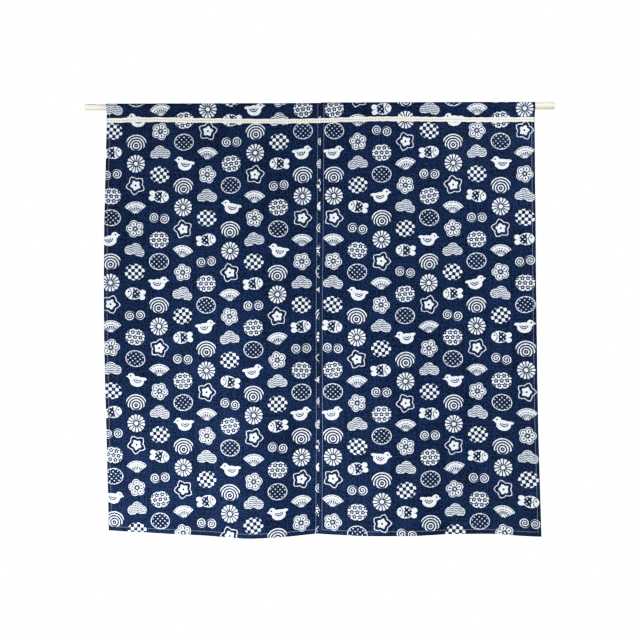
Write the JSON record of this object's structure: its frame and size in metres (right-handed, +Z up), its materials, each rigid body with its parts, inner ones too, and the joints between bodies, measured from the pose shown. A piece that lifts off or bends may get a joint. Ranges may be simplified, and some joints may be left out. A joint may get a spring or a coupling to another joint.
{
  "type": "noren curtain and rod",
  "caption": "Short split door curtain of printed cotton, hung by a sewn rod pocket on a slim telescopic rod, with a narrow header tape.",
  "frame": {"origin": "centre of the rod's left end face, seen from the front", "axes": "+X along the rod from its left end to its right end, -Y towards whoever faces the curtain's front, +Z up"},
  "size_m": [0.93, 0.0519, 0.86],
  "materials": {
    "printed_cotton": "plain-weave cotton, navy ground with a white print",
    "cotton_tape": "cream woven cotton tape, sewn down its middle",
    "enamelled_steel": "glossy cream enamel",
    "white_plastic": "matte white moulded plastic"
  },
  "bodies": {
    "root": {"panel_left": "printed_cotton", "panel_right": "printed_cotton", "header_tape": "cotton_tape", "rod_inner_tube": "enamelled_steel", "rod_outer_tube": "enamelled_steel", "rod_end_plug": "white_plastic"}
  },
  "joints": []
}
